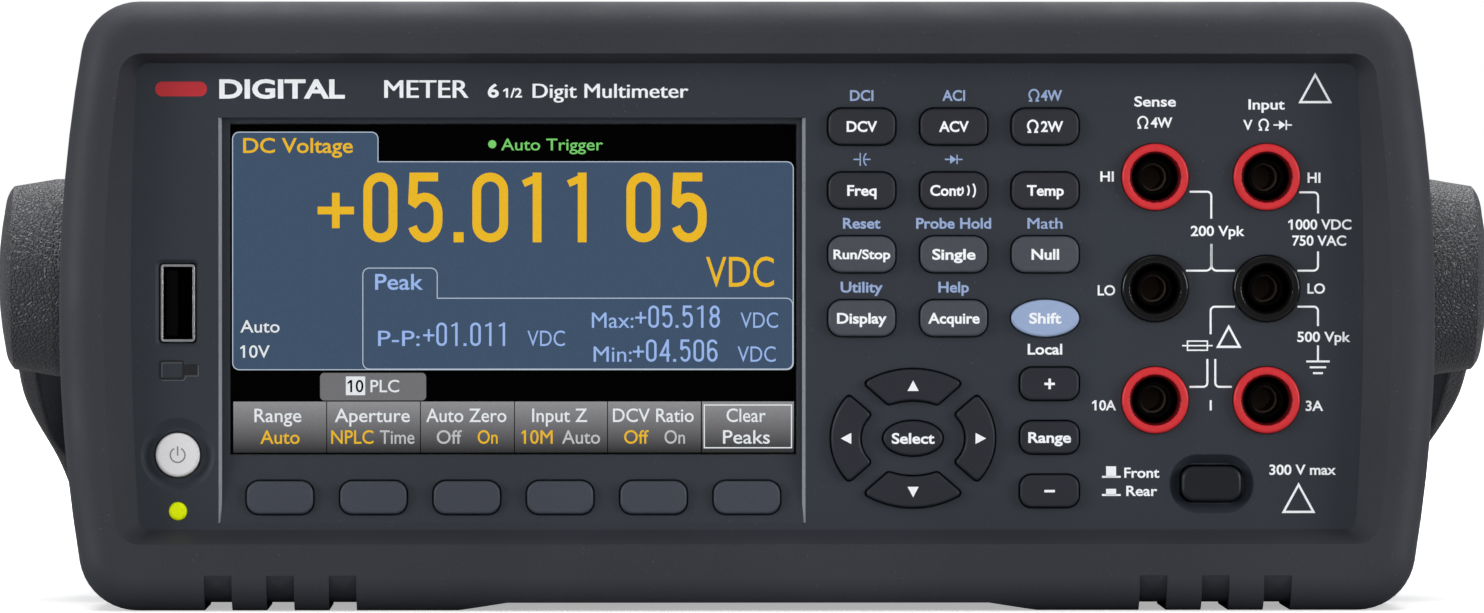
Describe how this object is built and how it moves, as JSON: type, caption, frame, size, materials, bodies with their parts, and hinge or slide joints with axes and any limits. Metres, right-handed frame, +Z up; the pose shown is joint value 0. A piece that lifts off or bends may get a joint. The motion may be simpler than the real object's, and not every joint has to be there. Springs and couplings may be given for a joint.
{
  "type": "bench multimeter",
  "caption": "Bench multimeter with a colour display, a keypad, shrouded test terminals, rubber bumpers at both ends and a swinging carrying handle.",
  "frame": {"origin": "on the bench, midway across the width and the depth of the whole instrument", "axes": "+X to the user's right, +Y away from the user from the front panel towards the rear panel, +Z up"},
  "size_m": [0.261, 0.3032, 0.1038],
  "materials": {
    "soft_key_plastic": "satin",
    "dark_key_plastic": "satin",
    "grey_key_plastic": "satin",
    "shift_key_plastic": "satin",
    "bumper_rubber": "fine grain",
    "case_paint": "fine texture",
    "tray_steel": "zinc plated",
    "screw_steel": "zinc plated",
    "panel_plastic": "fine texture",
    "dome_film": "satin",
    "window_plastic": "gloss",
    "module_metal": "satin",
    "board_laminate": "solder mask",
    "socket_metal": "bright",
    "light_pipe": "gloss",
    "power_button_plastic": "satin",
    "black_plastic": "satin",
    "red_plastic": "gloss",
    "contact_brass": "turned",
    "handle_plastic": "leather grain",
    "rear_steel": "fine texture",
    "connector_nickel": "bright",
    "interface_plastic": "satin",
    "transformer_iron": "varnished",
    "ribbon_plastic": "satin"
  },
  "bodies": {
    "instrument": {"bnc_connectors": "connector_nickel", "chassis_tray": "tray_steel", "contact_sleeves": "contact_brass", "current_fuse_cap": "black_plastic", "display_module": "module_metal", "display_window": "window_plastic", "fan_frame": "black_plastic", "front_board": "board_laminate", "front_bumper": "bumper_rubber", "front_panel": "panel_plastic", "front_terminal_block": "black_plastic", "handle_pivots": "handle_plastic", "interface_connector": "interface_plastic", "key_dome_sheet": "dome_film", "lan_socket": "socket_metal", "main_board": "board_laminate", "mains_inlet": "black_plastic", "power_light_pipe": "light_pipe", "rear_bumper": "bumper_rubber", "rear_panel": "rear_steel", "rear_terminal_block": "black_plastic", "ribbon_cable": "ribbon_plastic", "screws": "screw_steel", "source_switch_body": "black_plastic", "terminal_rings_black": "black_plastic", "terminal_rings_red": "red_plastic", "top_cover": "case_paint", "transformer": "transformer_iron", "usb_a_socket": "socket_metal", "usb_b_socket": "socket_metal"},
    "ac_volts_key": {"ac_volts_key": "dark_key_plastic"},
    "acquire_key": {"acquire_key": "grey_key_plastic"},
    "continuity_key": {"continuity_key": "dark_key_plastic"},
    "dc_volts_key": {"dc_volts_key": "dark_key_plastic"},
    "display_key": {"display_key": "grey_key_plastic"},
    "down_key": {"down_key": "dark_key_plastic"},
    "fan_rotor": {"fan_rotor": "black_plastic"},
    "frequency_key": {"frequency_key": "dark_key_plastic"},
    "handle": {"handle": "handle_plastic"},
    "left_key": {"left_key": "dark_key_plastic"},
    "minus_key": {"minus_key": "dark_key_plastic"},
    "null_key": {"null_key": "grey_key_plastic"},
    "ohms_key": {"ohms_key": "dark_key_plastic"},
    "plus_key": {"plus_key": "dark_key_plastic"},
    "power_button": {"power_button": "power_button_plastic"},
    "range_key": {"range_key": "dark_key_plastic"},
    "right_key": {"right_key": "dark_key_plastic"},
    "run_stop_key": {"run_stop_key": "grey_key_plastic"},
    "select_key": {"select_key": "dark_key_plastic"},
    "shift_key": {"shift_key": "shift_key_plastic"},
    "single_key": {"single_key": "grey_key_plastic"},
    "soft_key_1": {"soft_key_1": "soft_key_plastic"},
    "soft_key_2": {"soft_key_2": "soft_key_plastic"},
    "soft_key_3": {"soft_key_3": "soft_key_plastic"},
    "soft_key_4": {"soft_key_4": "soft_key_plastic"},
    "soft_key_5": {"soft_key_5": "soft_key_plastic"},
    "soft_key_6": {"soft_key_6": "soft_key_plastic"},
    "source_switch_button": {"source_switch_button": "grey_key_plastic"},
    "temperature_key": {"temperature_key": "dark_key_plastic"},
    "up_key": {"up_key": "dark_key_plastic"}
  },
  "joints": [
    {"name": "soft_key_1_press", "type": "slide", "parent": "instrument", "child": "soft_key_1", "axis": [0, 1, 0], "range_m": [0, 0.0008]},
    {"name": "soft_key_2_press", "type": "slide", "parent": "instrument", "child": "soft_key_2", "axis": [0, 1, 0], "range_m": [0, 0.0008]},
    {"name": "soft_key_3_press", "type": "slide", "parent": "instrument", "child": "soft_key_3", "axis": [0, 1, 0], "range_m": [0, 0.0008]},
    {"name": "soft_key_4_press", "type": "slide", "parent": "instrument", "child": "soft_key_4", "axis": [0, 1, 0], "range_m": [0, 0.0008]},
    {"name": "soft_key_5_press", "type": "slide", "parent": "instrument", "child": "soft_key_5", "axis": [0, 1, 0], "range_m": [0, 0.0008]},
    {"name": "soft_key_6_press", "type": "slide", "parent": "instrument", "child": "soft_key_6", "axis": [0, 1, 0], "range_m": [0, 0.0008]},
    {"name": "dc_volts_key_press", "type": "slide", "parent": "instrument", "child": "dc_volts_key", "axis": [0, 1, 0], "range_m": [0, 0.0008]},
    {"name": "ac_volts_key_press", "type": "slide", "parent": "instrument", "child": "ac_volts_key", "axis": [0, 1, 0], "range_m": [0, 0.0008]},
    {"name": "ohms_key_press", "type": "slide", "parent": "instrument", "child": "ohms_key", "axis": [0, 1, 0], "range_m": [0, 0.0008]},
    {"name": "frequency_key_press", "type": "slide", "parent": "instrument", "child": "frequency_key", "axis": [0, 1, 0], "range_m": [0, 0.0008]},
    {"name": "continuity_key_press", "type": "slide", "parent": "instrument", "child": "continuity_key", "axis": [0, 1, 0], "range_m": [0, 0.0008]},
    {"name": "temperature_key_press", "type": "slide", "parent": "instrument", "child": "temperature_key", "axis": [0, 1, 0], "range_m": [0, 0.0008]},
    {"name": "run_stop_key_press", "type": "slide", "parent": "instrument", "child": "run_stop_key", "axis": [0, 1, 0], "range_m": [0, 0.0008]},
    {"name": "single_key_press", "type": "slide", "parent": "instrument", "child": "single_key", "axis": [0, 1, 0], "range_m": [0, 0.0008]},
    {"name": "null_key_press", "type": "slide", "parent": "instrument", "child": "null_key", "axis": [0, 1, 0], "range_m": [0, 0.0008]},
    {"name": "display_key_press", "type": "slide", "parent": "instrument", "child": "display_key", "axis": [0, 1, 0], "range_m": [0, 0.0008]},
    {"name": "acquire_key_press", "type": "slide", "parent": "instrument", "child": "acquire_key", "axis": [0, 1, 0], "range_m": [0, 0.0008]},
    {"name": "shift_key_press", "type": "slide", "parent": "instrument", "child": "shift_key", "axis": [0, 1, 0], "range_m": [0, 0.0008]},
    {"name": "plus_key_press", "type": "slide", "parent": "instrument", "child": "plus_key", "axis": [0, 1, 0], "range_m": [0, 0.0008]},
    {"name": "range_key_press", "type": "slide", "parent": "instrument", "child": "range_key", "axis": [0, 1, 0], "range_m": [0, 0.0008]},
    {"name": "minus_key_press", "type": "slide", "parent": "instrument", "child": "minus_key", "axis": [0, 1, 0], "range_m": [0, 0.0008]},
    {"name": "up_key_press", "type": "slide", "parent": "instrument", "child": "up_key", "axis": [0, 1, 0], "range_m": [0, 0.0008]},
    {"name": "down_key_press", "type": "slide", "parent": "instrument", "child": "down_key", "axis": [0, 1, 0], "range_m": [0, 0.0008]},
    {"name": "left_key_press", "type": "slide", "parent": "instrument", "child": "left_key", "axis": [0, 1, 0], "range_m": [0, 0.0008]},
    {"name": "right_key_press", "type": "slide", "parent": "instrument", "child": "right_key", "axis": [0, 1, 0], "range_m": [0, 0.0008]},
    {"name": "select_key_press", "type": "slide", "parent": "instrument", "child": "select_key", "axis": [0, 1, 0], "range_m": [0, 0.0008]},
    {"name": "power_button_press", "type": "slide", "parent": "instrument", "child": "power_button", "axis": [0, 1, 0], "range_m": [0, 0.0015]},
    {"name": "source_switch_press", "type": "slide", "parent": "instrument", "child": "source_switch_button", "axis": [0, 1, 0], "range_m": [0, 0.003]},
    {"name": "handle_swing", "type": "hinge", "parent": "instrument", "child": "handle", "pos_m": [0, -0.0956, 0.0563], "axis": [-1, 0, 0], "range_deg": [0, 249.5]},
    {"name": "fan_spin", "type": "hinge", "parent": "instrument", "child": "fan_rotor", "pos_m": [-0.038, 0.1263, 0.055], "axis": [0, 1, 0], "continuous": true}
  ]
}
